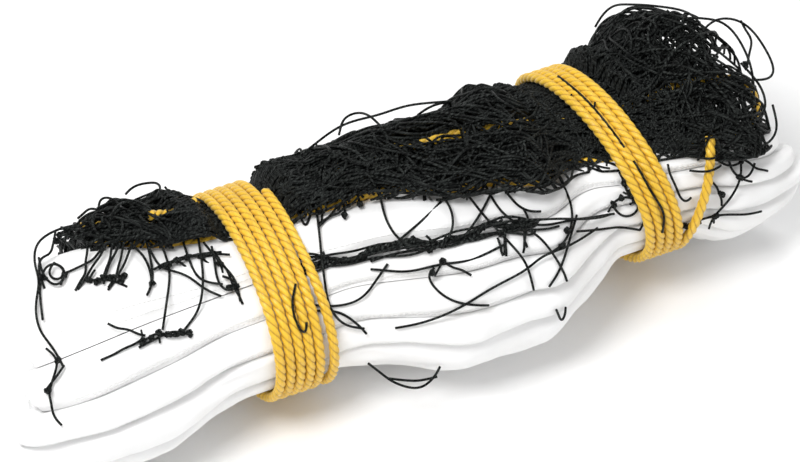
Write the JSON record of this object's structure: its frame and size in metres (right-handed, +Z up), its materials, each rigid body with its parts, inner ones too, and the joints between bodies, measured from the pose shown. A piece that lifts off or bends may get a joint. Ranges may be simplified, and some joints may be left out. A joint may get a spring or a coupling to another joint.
{
  "type": "tennis net",
  "caption": "Full-size tennis net put away: folded to and fro into a bundle and tied at two places with its own rope.",
  "frame": {"origin": "on the surface the bundle lies on, under the middle of its box", "axes": "+X along the bundle to its right end, +Y to its back, +Z up"},
  "size_m": [0.69, 0.2649, 0.1837],
  "materials": {
    "headband": "white woven polyester tape, soft and slightly satiny",
    "twine": "black twisted polyethylene twine",
    "rope": "yellow three-strand twisted polypropylene rope with a slight gloss"
  },
  "bodies": {
    "root": {"headband_fold_1": "headband", "headband_fold_2": "headband", "headband_fold_3": "headband", "headband_fold_4": "headband", "headband_fold_5": "headband", "headband_fold_6": "headband", "netting": "twine", "edge_cord": "twine", "tie_rope_left": "rope", "tie_rope_right": "rope", "foot_rope": "rope"}
  },
  "joints": []
}
